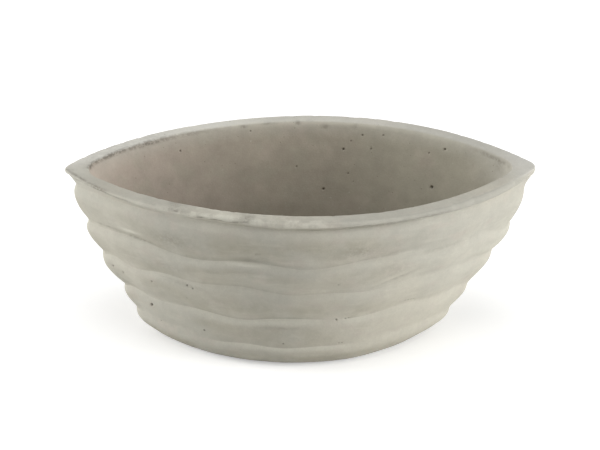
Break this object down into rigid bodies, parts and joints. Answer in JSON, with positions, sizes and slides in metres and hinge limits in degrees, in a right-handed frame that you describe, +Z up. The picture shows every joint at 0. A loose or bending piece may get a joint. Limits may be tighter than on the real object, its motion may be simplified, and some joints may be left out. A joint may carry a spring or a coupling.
{
  "type": "concrete bowl planter",
  "caption": "Boat-shaped cast concrete planter bowl with lapped, wavy tiers outside, a smooth hollow, a drain with a lift-out rubber plug, and foot pads.",
  "frame": {"origin": "on the ground, under the middle of the rim and of the whole part's box", "axes": "+X along the bowl to one pointed end, +Y across it, +Z up out of the bowl"},
  "size_m": [0.4, 0.2192, 0.1565],
  "materials": {
    "concrete": "matt cast concrete, warm grey with air pits and a trowelled surface",
    "plug_rubber": "moulded rubber, satin black",
    "pad_rubber": "fine-grained foam rubber, dark grey"
  },
  "bodies": {
    "planter": {"bowl": "concrete", "foot_pad_1": "pad_rubber", "foot_pad_2": "pad_rubber", "foot_pad_3": "pad_rubber", "foot_pad_4": "pad_rubber"},
    "plug": {"drain_plug": "plug_rubber"}
  },
  "joints": [
    {"name": "plug_lift", "type": "slide", "parent": "planter", "child": "plug", "axis": [0, 0, 1], "range_m": [0, 0.18]}
  ]
}
